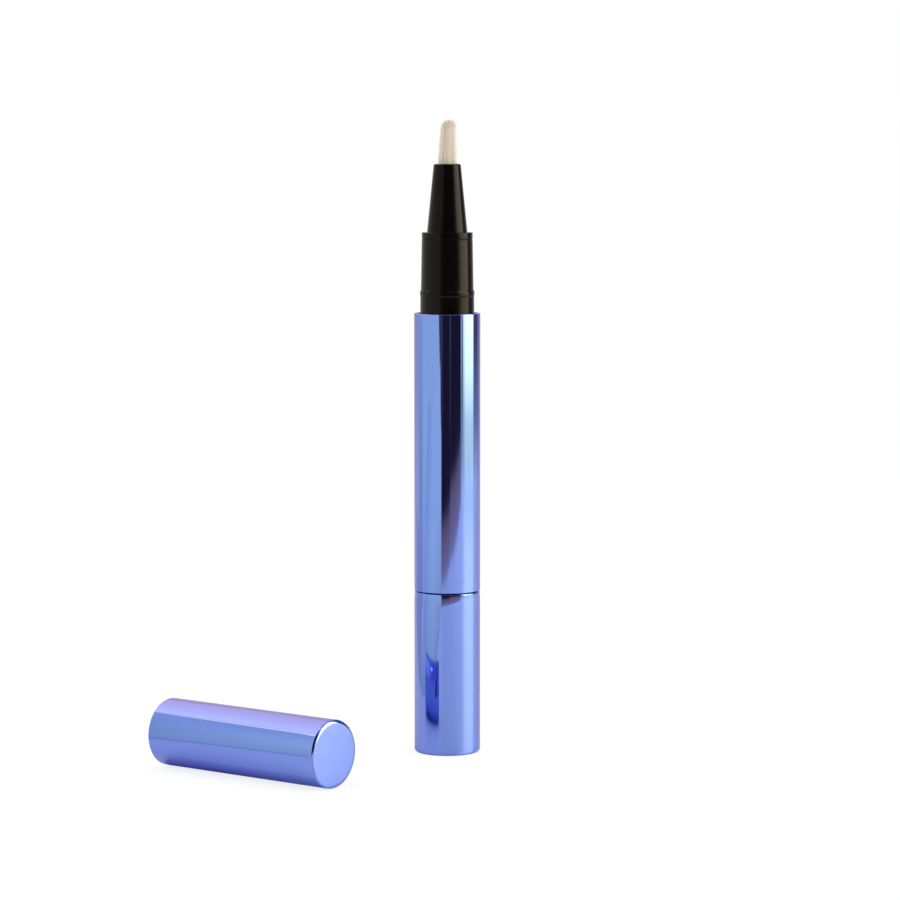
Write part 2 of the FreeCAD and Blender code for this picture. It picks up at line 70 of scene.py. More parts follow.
def fill_ramp(ramp, stops):
    """Sets the stops of a colour ramp, as pairs of a share and its red, green and blue."""
    elements = ramp.color_ramp.elements
    for number, (share, colour) in enumerate(stops):
        stop = elements[number] if number < 2 else elements.new(share)
        stop.position = share
        stop.color = (*colour[:3], 1)


def start_material(name):
    """An empty material, and its node tree."""
    material = bpy.data.materials.new(name)
    material.use_nodes = True
    material.node_tree.nodes.clear()
    return material, material.node_tree


def mottled_plastic(name, colours, roughness, flow_size, milkiness=0.0):
    """Moulded plastic: its colour drifts a little with the flow in the mould, and so does its gloss."""
    material, tree = start_material(name)
    place = add_node(tree, "TexCoord")
    flow = add_node(tree, "TexNoise", {"Scale": 1 / flow_size, "Detail": 3.0},
                    {"Vector": (place, "Object")})
    tint = add_node(tree, "ValToRGB", links={"Fac": (flow, "Fac")})
    fill_ramp(tint, [(0, linear(colours[0])), (1, linear(colours[1]))])
    dullest = (1 + gloss_spread) * roughness
    glossiest = (1 - gloss_spread) * roughness
    gloss = add_node(tree, "MapRange", {"To Min": glossiest, "To Max": dullest}, {"Value": (flow, "Fac")})
    skin = add_node(tree, "BsdfPrincipled",
                    {"Subsurface Weight": milkiness, "Subsurface Scale": milky_depth},
                    {"Base Color": (tint, "Color"), "Roughness": (gloss, "Result")})
    add_node(tree, "OutputMaterial", links={"Surface": (skin, "BSDF")})
    return material


def dress(material, *nodes):
    """Gives CAD nodes that keep their shape a finish."""
    for node in nodes:
        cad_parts[node].data.materials.clear()
        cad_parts[node].data.materials.append(material)


natural_polypropylene = mottled_plastic("natural polypropylene", colours=("#dfe2dd", "#f1f2ee"),
                                        roughness=0.38, flow_size=0.006, milkiness=0.25)
dress(natural_polypropylene, "reservoir_tube", "feed_tube", "feed_joint", "tuft_sleeve")

# Piston: a soft plug moulded in low density polyethylene, with two lips that wipe the reservoir.
# It snaps over the head of the screw, and its surface is waxy, so it scatters light softly.
soft_polyethylene = mottled_plastic("low density polyethylene", colours=("#d6dadb", "#e8ebec"),
                                    roughness=0.5, flow_size=0.004, milkiness=0.3)
dress(soft_polyethylene, "piston")

# Feed screw, nut, ratchet, pawl ring, drive sleeve and tail bush: the twist mechanism, moulded in
# acetal, which is white, slippery and dense. The screw climbs through the nut as the knob turns.
acetal = mottled_plastic("acetal", colours=("#e6e5df", "#f3f2ed"),
                         roughness=0.3, flow_size=0.003, milkiness=0.08)
dress(acetal, "lead_screw", "thread_nut", "ratchet_ring", "pawl_ring", "drive_sleeve", "tail_bush")

# Knob core: the black ABS lining of the knob, whose slit neck snaps into the tail of the barrel.
# It is moulded with a fine spark-eroded texture, so it looks satin where the seam lets it show.
satin_abs = mottled_plastic("satin black ABS", colours=("#101012", "#19191c"),
                            roughness=0.42, flow_size=0.0012)
dress(satin_abs, "knob_core")

# Rubber rings: one steadies the knob in its bush, the other seals the nozzle on the reservoir.
# They are moulded in nitrile rubber, matt and almost black, with a dusty bloom.
nitrile_rubber = mottled_plastic("nitrile rubber", colours=("#131313", "#222120"),
                                 roughness=0.7, flow_size=0.0008)
dress(nitrile_rubber, "knob_o_ring", "collar_o_ring")

# Knob: a drawn aluminium cup that covers the knob core, dyed blue and polished to a mirror.
# The pen stands on its closed foot. Polishing has eased its top edge inwards by a hair.
# Real draw lines lie a few hundredths of a millimetre apart, and are drawn wider so that they show.
segments = 256
rim_steps = 6
rim_catch_share = 0.1
merge_distance = 0.0000005
smooth_angle = math.radians(32)
knob_wall = 0.0005
knob_floor = 0.0006
knob_foot_radius = 0.0006
lip_radius = 0.00012
ease_height = 0.0026
ease_depth = 0.000075
ease_steps = 8
draw_line_width = 0.002 / 3
draw_line_stretch = 25
dye_colours = ("#869be4", "#8ca1ea")
dye_grazing_tint = "#f6e8f0"
polish_roughness = (0.04, 0.08)


def turn(name, outline, rims):
    """Lathes an outline of (radius, height) corners about the pen axis, then rounds some of its rims.

    rims holds pairs of a corner's number in the outline and the radius of its rounding.
    """
    bpy.ops.object.select_all(action="DESELECT")
    radius, height = outline[0]
    bpy.ops.mesh.primitive_plane_add(size=knob_wall, location=(radius, 0, height))
    piece = bpy.context.active_object
    piece.name = name
    piece.data.name = name
    bpy.ops.object.transform_apply()
    bpy.ops.object.mode_set(mode="EDIT")
    bpy.ops.mesh.select_mode(type="VERT")
    bpy.ops.mesh.merge(type="CENTER")
    meets_axis = outline[0][0] == 0 and outline[-1][0] == 0
    for next_radius, next_height in outline[1:] if meets_axis else outline[1:] + outline[:1]:
        step = (next_radius - radius, 0, next_height - height)
        bpy.ops.mesh.extrude_region_move(TRANSFORM_OT_translate={"value": step})
        radius, height = next_radius, next_height
    bpy.ops.mesh.select_all(action="SELECT")
    bpy.ops.mesh.spin(steps=segments, angle=math.tau, center=(0, 0, 0), axis=(0, 0, 1))
    bpy.ops.mesh.select_all(action="SELECT")
    bpy.ops.mesh.remove_doubles(threshold=merge_distance)
    bpy.ops.mesh.normals_make_consistent(inside=False)
    bpy.ops.mesh.select_mode(type="EDGE")
    for corner, rounding in rims:
        bpy.ops.mesh.select_all(action="DESELECT")
        mesh = bmesh.from_edit_mesh(piece.data)
        near = rounding * rim_catch_share
        rim_radius, rim_height = outline[corner]
        for edge in mesh.edges:
            edge.select_set(all(
                abs(math.hypot(v.co.x, v.co.y) - rim_radius) < near and abs(v.co.z - rim_height) < near
                for v in edge.verts
            ))
        bpy.ops.mesh.bevel(offset=rounding, segments=rim_steps, affect="EDGES")
    bpy.ops.object.mode_set(mode="OBJECT")
    bpy.ops.object.shade_smooth_by_angle(angle=smooth_angle)
    piece.modifiers.new("even_shading", "WEIGHTED_NORMAL").keep_sharp = True
    bpy.ops.object.modifier_apply(modifier="even_shading")
    return piece


def anodised_aluminium(name, draw_axis):
    """Polished and dyed aluminium: a mirror tinted blue, paling to lilac at grazing angles."""
    material, tree = start_material(name)
    place = add_node(tree, "TexCoord")
    line_length = draw_line_stretch * draw_line_width
    lines_per_metre = [1 / line_length if axis == draw_axis else 1 / draw_line_width for axis in "XYZ"]
    drawn = add_node(tree, "Mapping", {"Scale": lines_per_metre}, {"Vector": (place, "Object")})
    lines = add_node(tree, "TexNoise", {"Scale": 1.0, "Detail": 2.0}, {"Vector": (drawn, "Vector")})
    dye = add_node(tree, "ValToRGB", links={"Fac": (lines, "Fac")})
    fill_ramp(dye, [(0, linear(dye_colours[0])), (1, linear(dye_colours[1]))])
    polish = add_node(tree, "MapRange", {"To Min": polish_roughness[0], "To Max": polish_roughness[1]},
                      {"Value": (lines, "Fac")})
    skin = add_node(tree, "BsdfPrincipled", {"Metallic": 1.0, "Specular Tint": linear(dye_grazing_tint)},
                    {"Base Color": (dye, "Color"), "Roughness": (polish, "Result")})
    add_node(tree, "OutputMaterial", links={"Surface": (skin, "BSDF")})
    return material


def finish_piece(piece, material, body, slot, *nodes):
    """Gives a modelled piece its finish and its body, and hides the CAD nodes that it stands for. Its slot
    is not used.
    """
    piece.data.materials.clear()
    piece.data.materials.append(material)
    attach(piece, body)
    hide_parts(*nodes)


knob_low, knob_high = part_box("knob_shell")
shell_radius = knob_high.x
knob_top = knob_high.z
shell_inner = shell_radius - knob_wall
eased = [
    (shell_radius - ease_depth * (step / ease_steps) ** 2, knob_top - ease_height * (1 - step / ease_steps))
    for step in range(ease_steps + 1)
]
knob_outline = [(0, knob_low.z), (shell_radius, knob_low.z)] + eased
knob_outline += [(shell_inner, knob_top), (shell_inner, knob_floor), (0, knob_floor)]
knob_rims = [(1, knob_foot_radius), (ease_steps + 2, lip_radius), (ease_steps + 3, lip_radius)]
knob_cup = turn("knob_cup", knob_outline, knob_rims)
blue_aluminium = anodised_aluminium("anodised aluminium, drawn upright", "Z")
finish_piece(knob_cup, blue_aluminium, "knob", "metallised_shell", "knob_shell")

# Barrel: a straight aluminium tube with the same dye and polish as the knob, pushed over the
# reservoir and bush. Its ends are cut square, and their edges are just broken.
barrel_low, barrel_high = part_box("barrel_sleeve")
barrel_outline = [
    (shell_inner, barrel_low.z),
    (shell_radius, barrel_low.z),
    (shell_radius, barrel_high.z),
    (shell_inner, barrel_high.z),
]
barrel_rims = [(corner, lip_radius) for corner in range(len(barrel_outline))]
barrel_tube = turn("barrel_tube", barrel_outline, barrel_rims)
finish_piece(barrel_tube, blue_aluminium, "barrel", "metallised_shell", "barrel_sleeve")

# Collar: the black neck that the cap snaps on, moulded in styrene in a polished mould.
# Its skirt is pressed into the barrel, and a low bead near its foot holds the cap.
collar_low, collar_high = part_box("collar")
collar_insert = collar_high.x
collar_bead = 0.00493
collar_bead_above_barrel = 0.0036
collar_bead_width = 0.0012
collar_seat = 0.00487
collar_foot = 0.00489
collar_shoulder = 0.00476
collar_top = 0.0046
collar_skirt_drop = 0.00015
collar_chamfer = 0.00012
collar_bore = 0.00345
soft_edge = 0.00006
styrene_colours = ("#060403", "#0b0806")
styrene_roughness = (0.16, 0.24)
styrene_gloss = 0.17
styrene_gloss_tint = "#ffe9dd"
ripple_size = 0.0011
ripple_depth = 0.00005
ripple_strength = 0.03


def black_styrene():
    """Glossy black styrene: deep black, with clear highlights that a faint mould texture softens."""
    material, tree = start_material("glossy black styrene")
    place = add_node(tree, "TexCoord")
    ripple = add_node(tree, "TexNoise", {"Scale": 1 / ripple_size, "Detail": 2.0},
                      {"Vector": (place, "Object")})
    tint = add_node(tree, "ValToRGB", links={"Fac": (ripple, "Fac")})
    fill_ramp(tint, [(0, linear(styrene_colours[0])), (1, linear(styrene_colours[1]))])
    gloss = add_node(tree, "MapRange", {"To Min": styrene_roughness[0], "To Max": styrene_roughness[1]},
                     {"Value": (ripple, "Fac")})
    relief = add_node(tree, "Bump", {"Strength": ripple_strength, "Distance": ripple_depth},
                      {"Height": (ripple, "Fac")})
    skin = add_node(tree, "BsdfPrincipled",
                    {"Specular IOR Level": styrene_gloss, "Specular Tint": linear(styrene_gloss_tint)},
                    {"Base Color": (tint, "Color"), "Roughness": (gloss, "Result"),
                     "Normal": (relief, "Normal")})
    add_node(tree, "OutputMaterial", links={"Surface": (skin, "BSDF")})
    return material


bead_level = barrel_high.z + collar_bead_above_barrel
collar_outline = [
    (collar_bore, collar_low.z),
    (collar_insert, collar_low.z),
    (collar_insert, barrel_high.z - collar_skirt_drop),
    (collar_foot, barrel_high.z - collar_skirt_drop),
    (collar_seat, bead_level - collar_bead_width / 2),
    (collar_bead, bead_level - collar_bead_width / 4),
    (collar_bead, bead_level + collar_bead_width / 4),
    (collar_shoulder, bead_level + collar_bead_width / 2),
    (collar_top, collar_high.z),
    (collar_bore, collar_high.z),
]
collar_rims = [(corner, soft_edge) for corner in (1, 2, 4, 5, 6, 7)] + [(8, collar_chamfer)]
collar_neck = turn("collar_neck", collar_outline, collar_rims)
styrene = black_styrene()
finish_piece(collar_neck, styrene, "barrel", "black_gloss", "collar")

# Nozzle: a cone on a flange, moulded in the same black styrene, whose stem is pressed into the
# collar. The sleeve with the brush is pushed into its tip.
nozzle_low, nozzle_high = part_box("nozzle")
nozzle_flange_height = 0.00125
nozzle_flange_round = 0.0001
nozzle_base = 0.00365
nozzle_tip = 0.002445
nozzle_tip_round = 0.00025
nozzle_stem = 0.0034
nozzle_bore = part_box("tuft_sleeve")[1].x
flange_top = collar_high.z + nozzle_flange_height
nozzle_outline = [
    (nozzle_stem, nozzle_low.z),
    (nozzle_stem, collar_high.z),
    (collar_top, collar_high.z),
    (collar_top, flange_top),
    (nozzle_base, flange_top),
    (nozzle_tip, nozzle_high.z),
    (nozzle_bore, nozzle_high.z),
    (nozzle_bore, nozzle_low.z),
]
nozzle_rims = [(2, nozzle_flange_round), (3, nozzle_flange_round), (4, soft_edge), (5, nozzle_tip_round)]
nozzle_cone = turn("nozzle_cone", nozzle_outline, nozzle_rims)
finish_piece(nozzle_cone, styrene, "barrel", "black_gloss", "nozzle")

# Brush: a tuft of nylon bristles, each extruded and then tapered in a bath, gathered in the sleeve.
# The outer bristles end lower than the middle ones, which gives the tuft its rounded tip.
# It leans a little to one side. Its bristles are painted paler at their tips and at the tuft's left and
# right sides, as painted light.
bristle_count = 850
bristle_radius = 0.00005
bristle_sides = 6
bristle_rings = (0.0, 0.3, 0.46, 0.6, 0.72, 0.83, 0.92, 1.0)
bristle_tip_share = 0.45
bristle_smooth_angle = math.radians(70)
bristle_colours = ("#e6d4ba", "#fff6e4")
bristle_roughness = 0.45
bristle_ior = 1.53
tuft_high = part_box("brush_tuft")[1]
tuft_radius = tuft_high.x - bristle_radius
tuft_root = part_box("feed_tube")[1].z + bristle_radius
tuft_height_shares = (0.0, 0.41, 0.72, 0.88, 0.943, 0.98, 1.0)
tuft_width_shares = (1.0, 0.93, 0.86, 0.79, 0.61, 0.4, 0.0)
tuft_least_share = 0.8
tuft_lean = 0.0003
lean_angle = math.radians(38)
golden_angle = math.pi * (3 - math.sqrt(5))
angle_scatter = 0.2
end_step_share = 0.005
end_scatter_share = 0.065
sway_angle = 0.04
tone_middle = 0.5
# Painted light: bristles at the tuft's left and right sides, as seen from the camera, are painted paler,
# and those at its front and back darker.
painted_side_light = 0.25
tone_streaks = 0.06
tone_scatter = 0.18
streaks = 9
streak_start = 1
# Painted light: the bristles are painted paler towards their tips.
painted_tip_light = 0.6
painted_tip_light_power = 6
draws = random.Random(11)


def tuft_width_share(share):
    """The tuft's width at a share of its free height, as a share of its width at the nozzle."""
    steps = zip(tuft_height_shares, tuft_height_shares[1:], tuft_width_shares, tuft_width_shares[1:])
    for low, high, wide, narrow in steps:
        if share <= high:
            return wide + (narrow - wide) * max(0, share - low) / (high - low)
    return 0.0


def model_bristle():
    """One straight bristle of unit height on the pen axis, drawn up ring by ring."""
    bpy.ops.object.select_all(action="DESELECT")
    bpy.ops.mesh.primitive_circle_add(vertices=bristle_sides, radius=bristle_radius, fill_type="NGON")
    bristle = bpy.context.active_object
    bpy.ops.object.mode_set(mode="EDIT")
    bpy.ops.mesh.select_all(action="SELECT")
    for low, high in zip(bristle_rings, bristle_rings[1:]):
        bpy.ops.mesh.extrude_region_move(TRANSFORM_OT_translate={"value": (0, 0, high - low)})
    taper = (bristle_tip_share, bristle_tip_share, 1.0)
    bpy.ops.transform.resize(value=taper, center_override=(0, 0, 1))
    bpy.ops.mesh.select_all(action="SELECT")
    bpy.ops.mesh.normals_make_consistent(inside=False)
    bpy.ops.object.mode_set(mode="OBJECT")
    bpy.ops.object.shade_smooth_by_angle(angle=bristle_smooth_angle)
    bristle.data.attributes.new("tone_and_painted_light", "FLOAT", "POINT")
    return bristle


def nylon_bristles():
    """Natural nylon: cream and cloudy. Its tone holds each bristle's own lightness and painted light."""
    material, tree = start_material("natural nylon bristle")
    tone_and_painted_light = add_node(tree, "Attribute", attribute_name="tone_and_painted_light")
    tint = add_node(tree, "ValToRGB", links={"Fac": (tone_and_painted_light, "Fac")})
    fill_ramp(tint, [(0, linear(bristle_colours[0])), (1, linear(bristle_colours[1]))])
    skin = add_node(tree, "BsdfPrincipled", {"Roughness": bristle_roughness, "IOR": bristle_ior},
                    {"Base Color": (tint, "Color")})
    add_node(tree, "OutputMaterial", links={"Surface": (skin, "BSDF")})
    return material


straight = model_bristle()
bristles = []
free_height = tuft_high.z - nozzle_high.z
for number in range(bristle_count):
    ring_share = math.sqrt((number + 0.5) / bristle_count)
    angle = number * golden_angle + draws.uniform(-angle_scatter, angle_scatter)
    end_share = 1.0
    while tuft_width_share(end_share) < ring_share * max(tuft_least_share, tuft_width_share(end_share)):
        end_share -= end_step_share
    end_share -= draws.uniform(0.0, end_scatter_share)
    tip = nozzle_high.z + end_share * free_height
    sway = draws.uniform(-sway_angle, sway_angle)
    tone_and_painted_light = tone_middle + painted_side_light * math.cos(2 * (angle - lean_angle))
    tone_and_painted_light += tone_streaks * math.sin(streaks * angle + streak_start)
    tone_and_painted_light += draws.uniform(-tone_scatter, tone_scatter)
    tones_and_painted_light = []
    bristle = bpy.data.objects.new("bristle", straight.data.copy())
    bpy.context.collection.objects.link(bristle)
    for vertex in bristle.data.vertices:
        height = tuft_root + (tip - tuft_root) * vertex.co.z
        share = max(0.0, (height - nozzle_high.z) / free_height)
        spread = ring_share * tuft_radius * max(tuft_least_share, tuft_width_share(share))
        swayed = angle + sway * share
        lean = tuft_lean * share
        vertex.co.x += spread * math.cos(swayed) + lean * math.cos(lean_angle)
        vertex.co.y += spread * math.sin(swayed) + lean * math.sin(lean_angle)
        vertex.co.z = height
        tones_and_painted_light.append(tone_and_painted_light + painted_tip_light * share ** painted_tip_light_power)
    bristle.data.attributes["tone_and_painted_light"].data.foreach_set("value", tones_and_painted_light)
    bristles.append(bristle)
bpy.data.objects.remove(straight)
bpy.ops.object.select_all(action="DESELECT")
for bristle in bristles:
    bristle.select_set(True)
bpy.context.view_layer.objects.active = bristles[0]
bpy.ops.object.join()
brush = bpy.context.active_object
brush.name = "brush_bristles"
brush.data.name = "brush_bristles"
finish_piece(brush, nylon_bristles(), "barrel", "nylon_bristle", "brush_tuft")

# Cap lining: a polypropylene sleeve that is glued into the cap, with a ridge near its mouth that
# snaps under the bead of the collar. It shows only inside the mouth.
cap_low, cap_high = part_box("cap_shell")
lining_low, lining_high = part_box("cap_liner")
cap_middle = (cap_low + cap_high) / 2
lining_recess = lining_low.x - cap_low.x
lining_outer = (lining_high.z - lining_low.z) / 2
lining_end = lining_high.x - cap_low.x
lining_mouth = 0.005
lining_chamfer = 0.00025
lining_ridge = 0.0049
lining_ridge_level = 0.0025
lining_ridge_width = 0.0008
lining_step = 0.0156
lining_deep = 0.0043
lining_end_wall = 0.001
lining_corner = 0.0004


def lay_down(piece):
    """Lays a cap piece, turned mouth down on the pen axis, on its side where the cap lies."""
    bpy.ops.object.select_all(action="DESELECT")
    piece.select_set(True)
    bpy.context.view_layer.objects.active = piece
    piece.rotation_euler = (0, math.pi / 2, 0)
    piece.location = (cap_low.x, cap_middle.y, shell_radius)
    bpy.ops.object.transform_apply()


lining_outline = [
    (0, lining_end),
    (lining_outer, lining_end),
    (lining_outer, lining_recess),
    (lining_mouth + lining_chamfer, lining_recess),
    (lining_mouth, lining_recess + lining_chamfer),
    (lining_mouth, lining_ridge_level - lining_ridge_width / 2),
    (lining_ridge, lining_ridge_level),
    (lining_mouth, lining_ridge_level + lining_ridge_width / 2),
    (lining_mouth, lining_step),
    (lining_deep, lining_step),
    (lining_deep, lining_end - lining_end_wall),
    (0, lining_end - lining_end_wall),
]
cap_lining = turn("cap_lining", lining_outline, [(1, lining_corner), (6, soft_edge)])
lay_down(cap_lining)
finish_piece(cap_lining, natural_polypropylene, "cap", "natural_pp", "cap_liner")

# Cap seal: a washer punched from closed-cell polyethylene foam and pushed to the step in the lining.
# It closes on the nozzle's flange, and its cut faces look finely pitted.
seal_foam = mottled_plastic("closed-cell polyethylene foam", colours=("#d9d9d3", "#efefeb"),
                            roughness=0.8, flow_size=0.0003)
dress(seal_foam, "cap_seal")

# Cap: a deep-drawn aluminium cup with a flat end and a rounded edge, dyed and polished as the barrel
# is. It is glued over the lining, and lies on its side beside the pen.
cap_wall = 0.0005
cap_edge_reach = 0.0008
cap_edge_drop = 0.0005
cap_edge_steps = 12
cap_corner = 0.0004
cap_length = cap_high.x - cap_low.x
quarter_turn = math.pi / 2
rolled = [
    (
        shell_radius - cap_edge_reach * (1 - math.sin(step / cap_edge_steps * quarter_turn)),
        cap_length - cap_edge_drop * (1 - math.cos(step / cap_edge_steps * quarter_turn)),
    )
    for step in range(cap_edge_steps + 1)
]
cap_outline = [(0, cap_length)] + rolled + [
    (shell_radius, 0),
    (shell_inner, 0),
    (shell_inner, cap_length - cap_wall),
    (0, cap_length - cap_wall),
]
cap_mouth = len(rolled) + 1
cap_rims = [(cap_mouth, lip_radius), (cap_mouth + 1, lip_radius), (cap_mouth + 2, cap_corner)]
cap_cup = turn("cap_cup", cap_outline, cap_rims)
lay_down(cap_cup)
level_aluminium = anodised_aluminium("anodised aluminium, drawn level", "X")
finish_piece(cap_cup, level_aluminium, "cap", "metallised_shell", "cap_shell")

# Studio: the camera stands in front of the pen, as high as its brush, and looks slightly down on it.
# Places are given as seen from there: to the right of the pen, nearer than it, and up.
view_azimuth = math.radians(37.75)
camera_place = (0.0005, 0.6479, 0.1168)
camera_pitch = math.radians(5.43)
camera_lens = 143.52
camera_sensor = 36.0
camera_nearest = 0.01
camera_farthest = 100.0


def studio(right, near, up):
    """A place in the frame, from its distances to the right of the pen, in front of it and above."""
    across = (math.cos(view_azimuth), math.sin(view_azimuth))
    towards = (math.sin(view_azimuth), -math.cos(view_azimuth))
    return (right * across[0] + near * towards[0], right * across[1] + near * towards[1], up)


camera = bpy.data.objects.new("camera", bpy.data.cameras.new("camera"))
bpy.context.collection.objects.link(camera)
camera.location = studio(*camera_place)
camera.rotation_euler = (math.pi / 2 - camera_pitch, 0, view_azimuth)
camera.data.lens = camera_lens
camera.data.sensor_width = camera_sensor
camera.data.clip_start = camera_nearest
camera.data.clip_end = camera_farthest
bpy.context.scene.camera = camera
bpy.context.scene.view_settings.view_transform = "Standard"

# Floor: a satin white table. The camera sees it white with a faint shadow. The metal sees it matt with
# a soft sheen, and with a painted glow on top: painted light whose colour changes round the pen, with a
# painted sheen of the window on the window's side and painted shade on the cap's side, weaker close to the
# pen.
floor_size = 40.0
floor_glow = 0.8
floor_shade = "#898989"
floor_white = "#dcdce0"
floor_sheen = 0.2
floor_sheen_roughness = 0.42
floor_painted_light_near_share = 0.5
floor_painted_light_full_distance = 0.3
# Painted light on the floor that the camera doesn't see: a painted sheen of the window at about 66 to 98
# degrees, and painted shade at about -85 to -60 degrees, on the cap's side.
floor_painted_light_by_azimuth = [
    (-180, (0.06, 0.06, 0.02)),
    (-120, (0.1, 0.1, 0.04)),
    (-85, (0.03, 0.03, 0.14)),
    (-60, (0.0, 0.0, 0.17)),
    (-10, (0.12, 0.21, 0.27)),
    (15, (0.15, 0.24, 0.3)),
    (38, (0.28, 0.33, 0.36)),
    (52, (0.2, 0.25, 0.26)),
    (66, (0.34, 0.44, 0.36)),
    (98, (0.34, 0.44, 0.36)),
    (113, (0.24, 0.27, 0.26)),
    (128, (0.15, 0.15, 0.15)),
    (140, (0.08, 0.08, 0.08)),
    (180, (0.06, 0.06, 0.05)),
]
bpy.ops.object.select_all(action="DESELECT")
bpy.ops.mesh.primitive_plane_add(size=floor_size)
floor = bpy.context.active_object
floor.name = "floor"
table_white, tree = start_material("satin white table")
rays = add_node(tree, "LightPath")
glow = add_node(tree, "Emission", {"Strength": floor_glow})
shade = add_node(tree, "BsdfDiffuse", {"Color": linear(floor_shade)})
seen = add_node(tree, "AddShader", links={0: (glow, 0), 1: (shade, 0)})
place = add_node(tree, "TexCoord")
turned = add_node(tree, "Mapping", {"Rotation": (0, 0, math.pi / 2 - view_azimuth)},
                  {"Vector": (place, "Object")})
heading = add_node(tree, "TexGradient", links={"Vector": (turned, "Vector")}, gradient_type="RADIAL")
floor_painted_light_colour = add_node(tree, "ValToRGB", links={"Fac": (heading, "Fac")})
fill_ramp(floor_painted_light_colour, [(0.5 + azimuth / 360, level) for azimuth, level in floor_painted_light_by_azimuth])
distance = add_node(tree, "VectorMath", links={0: (place, "Object")}, operation="LENGTH")
floor_painted_light_level = add_node(tree, "MapRange", {"From Max": floor_painted_light_full_distance, "To Min": floor_painted_light_near_share},
                      {"Value": (distance, "Value")})
floor_painted_light = add_node(tree, "Emission",
                links={"Color": (floor_painted_light_colour, "Color"), "Strength": (floor_painted_light_level, "Result")})
matt = add_node(tree, "BsdfDiffuse", {"Color": linear(floor_white)})
sheen = add_node(tree, "BsdfGlossy", {"Color": (1, 1, 1, 1), "Roughness": floor_sheen_roughness})
satin = add_node(tree, "MixShader", {0: floor_sheen}, {1: (matt, 0), 2: (sheen, 0)})
mirrored = add_node(tree, "AddShader", links={0: (satin, 0), 1: (floor_painted_light, 0)})
both = add_node(tree, "MixShader", links={0: (rays, "Is Camera Ray"), 1: (mirrored, 0), 2: (seen, 0)})
add_node(tree, "OutputMaterial", links={"Surface": (both, 0)})
floor.data.materials.append(table_white)

# World: soft white light from all round and a plain white background. The metal sees the ceiling
# darker than the walls, and a little bluer.
world_level = 0.85
world_by_height = [
    (0.0, (0.74, 0.73, 0.58)),
    (0.4, (0.85, 0.72, 0.85)),
    (0.7, (0.6, 0.5, 0.75)),
    (1.0, (0.45, 0.36, 0.7)),
]
world = bpy.data.worlds.new("studio")
bpy.context.scene.world = world
world.use_nodes = True
tree = world.node_tree
tree.nodes.clear()
rays = add_node(tree, "LightPath")
level = add_node(tree, "MapRange", {"To Min": world_level, "To Max": 1.0},
                 {"Value": (rays, "Is Camera Ray")})
plain = add_node(tree, "Background", {"Color": (1, 1, 1, 1)}, {"Strength": (level, "Result")})
place = add_node(tree, "TexCoord")
axes = add_node(tree, "SeparateXYZ", links={"Vector": (place, "Generated")})
climb = add_node(tree, "ValToRGB", links={"Fac": (axes, "Z")})
fill_ramp(climb, world_by_height)
room = add_node(tree, "Background", links={"Color": (climb, "Color")})
sky = add_node(tree, "MixShader", links={0: (rays, "Is Glossy Ray"), 1: (plain, 0), 2: (room, 0)})
add_node(tree, "OutputWorld", links={"Surface": (sky, 0)})

# Left cards: a long white card beside the pen, whose back edge slopes, with a strip of painted shade at its
# foot, a low grey card behind it, and two pale cards farther out.
# Only gloss sees these and all the other cards, and each one's brightness is red, green and blue.
left_back = (-0.070, -0.008)
left_back_top = (-0.0715, 0.028)
left_front = (-0.080, 0.215)
left_height = 0.058
left_rise = (0.8, 1.04, 0.5)
left_levels = [
    (0, (0.64, 0.75, 0.82)),
    (0.08, (0.68, 0.79, 0.84)),
    (0.18, (0.8, 0.92, 0.9)),
    (0.27, (0.83, 0.95, 0.9)),
    (0.3, (0.88, 1.0, 0.93)),
    (0.33, (0.81, 0.94, 0.89)),
    (1, (0.83, 0.96, 0.9)),
]
# Painted shade: a greyer strip stands at the foot of the left card.
foot_shift = 0.0005
foot_height = 0.0025
painted_shade_foot_levels = [(0, (0.5, 0.56, 0.66)), (foot_height, (0.55, 0.64, 0.72))]
grey_back = (-0.124, -0.120)
grey_height = 0.030
grey_rise = (0.98, 1.06, 1)
grey_levels = [(0, (0.66, 0.64, 0.68)), (0.6, (0.6, 0.6, 0.67)), (1, (0.52, 0.56, 0.66))]
far_right = -0.200
far_nears = (-0.100, -0.015, 0.538)
far_height = 0.100
far_back_levels = [(0, (0.56, 0.64, 0.66)), (0.03, (0.6, 0.69, 0.71)), (0.07, (0.72, 0.81, 0.79))]
far_levels = [(0, (0.7, 0.82, 0.82)), (0.04, (0.82, 0.98, 0.91))]


def card(name, base, top, heights, stops, along="Y", rise=(1, 1, 1)):
    """A card between two lower and two upper corners, with its brightness along one side.

    rise holds what its foot and its upper part multiply that brightness by, and the share of its
    height from which the upper part counts.
    """
    bpy.ops.object.select_all(action="DESELECT")
    bpy.ops.mesh.primitive_plane_add(size=2)
    sheet = bpy.context.active_object
    sheet.name = name
    low, high = heights
    corners = [studio(*end, low) for end in base] + [studio(*end, high) for end in top]
    for vertex, corner in zip(sheet.data.vertices, corners):
        vertex.co = corner
    material, tree = start_material(name)
    place = add_node(tree, "UVMap", uv_map="UVMap")
    axes = add_node(tree, "SeparateXYZ", links={"Vector": (place, "UV")})
    ramp = add_node(tree, "ValToRGB", links={"Fac": (axes, along)})
    fill_ramp(ramp, stops)
    foot_level, upper_level, upper_share = rise
    strength = add_node(tree, "MapRange",
                        {"From Max": upper_share, "To Min": foot_level, "To Max": upper_level},
                        {"Value": (axes, "Y")})
    light = add_node(tree, "Emission", links={"Color": (ramp, "Color"), "Strength": (strength, "Result")})
    add_node(tree, "OutputMaterial", links={"Surface": (light, 0)})
    sheet.data.materials.append(material)
    sheet.visible_camera = False
    sheet.visible_diffuse = False
    sheet.visible_transmission = False
    sheet.visible_shadow = False


def upright(name, ends, heights, levels):
    """An upright card, with its brightness at heights above the table."""
    low, high = heights
    card(name, ends, ends, heights, [((up - low) / (high - low), level) for up, level in levels])


